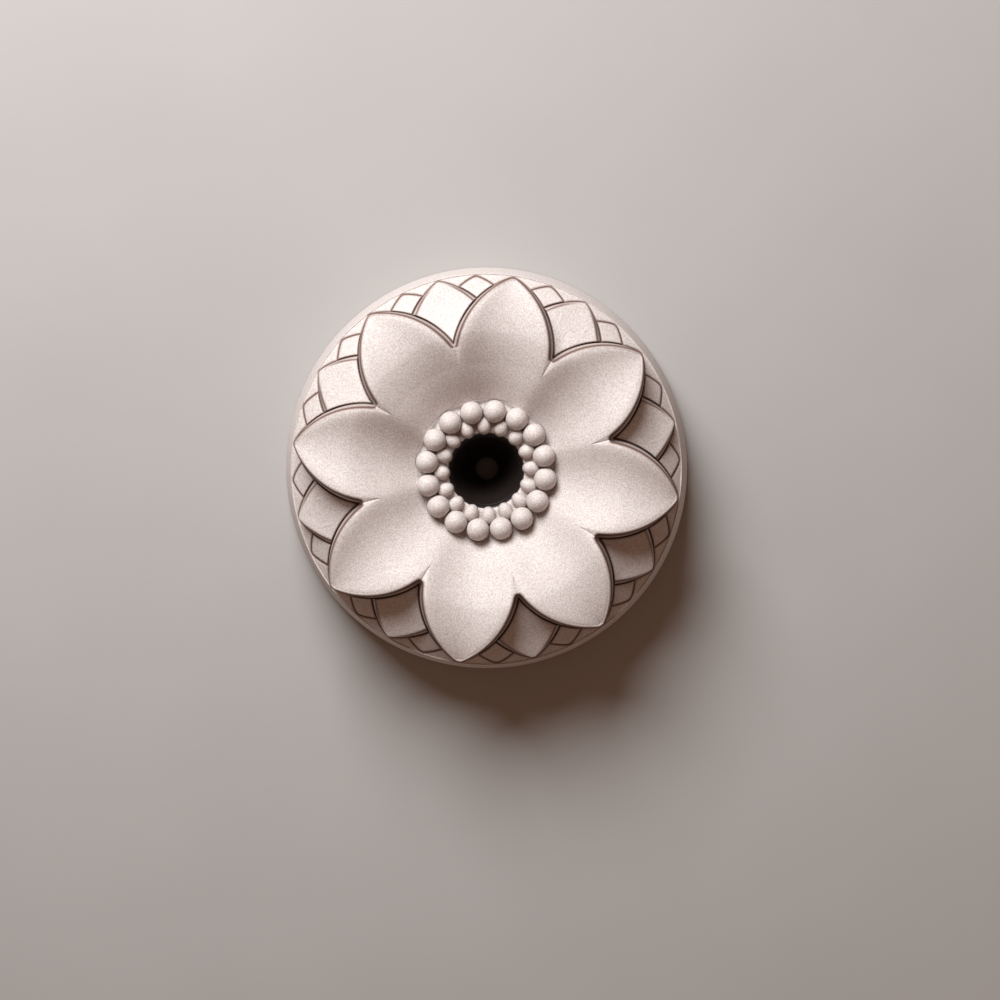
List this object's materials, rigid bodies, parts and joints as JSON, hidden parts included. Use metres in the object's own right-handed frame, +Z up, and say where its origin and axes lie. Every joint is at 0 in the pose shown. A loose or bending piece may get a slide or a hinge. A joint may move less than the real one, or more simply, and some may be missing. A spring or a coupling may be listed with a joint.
{
  "type": "bundt pan",
  "caption": "Round cast aluminium bundt pan, mouth down, with a crown of overlapping petals, a beaded collar and a tapered centre tube.",
  "frame": {"origin": "middle of the rim's lower face, where the pan stands mouth down", "axes": "+Z up along the centre tube's axis, towards the petals; +X through the middle of a large petal"},
  "size_m": [0.25, 0.25, 0.0918],
  "materials": {
    "champagne_coat": "satin metallic bake ware coat, champagne rose",
    "dark_nonstick": "satin dark non-stick coat"
  },
  "bodies": {
    "root": {"rim_band": "champagne_coat", "side_wall": "champagne_coat", "large_petal_1": "champagne_coat", "large_petal_2": "champagne_coat", "large_petal_3": "champagne_coat", "large_petal_4": "champagne_coat", "large_petal_5": "champagne_coat", "large_petal_6": "champagne_coat", "large_petal_7": "champagne_coat", "large_petal_8": "champagne_coat", "medium_petal_1": "champagne_coat", "medium_petal_2": "champagne_coat", "medium_petal_3": "champagne_coat", "medium_petal_4": "champagne_coat", "medium_petal_5": "champagne_coat", "medium_petal_6": "champagne_coat", "medium_petal_7": "champagne_coat", "medium_petal_8": "champagne_coat", "small_petal_1": "champagne_coat", "small_petal_2": "champagne_coat", "small_petal_3": "champagne_coat", "small_petal_4": "champagne_coat", "small_petal_5": "champagne_coat", "small_petal_6": "champagne_coat", "small_petal_7": "champagne_coat", "small_petal_8": "champagne_coat", "small_petal_9": "champagne_coat", "small_petal_10": "champagne_coat", "small_petal_11": "champagne_coat", "small_petal_12": "champagne_coat", "small_petal_13": "champagne_coat", "small_petal_14": "champagne_coat", "small_petal_15": "champagne_coat", "small_petal_16": "champagne_coat", "bead_collar": "champagne_coat", "outer_beads": "champagne_coat", "inner_beads": "champagne_coat", "centre_tube": "dark_nonstick", "tube_tip": "dark_nonstick"}
  },
  "joints": []
}
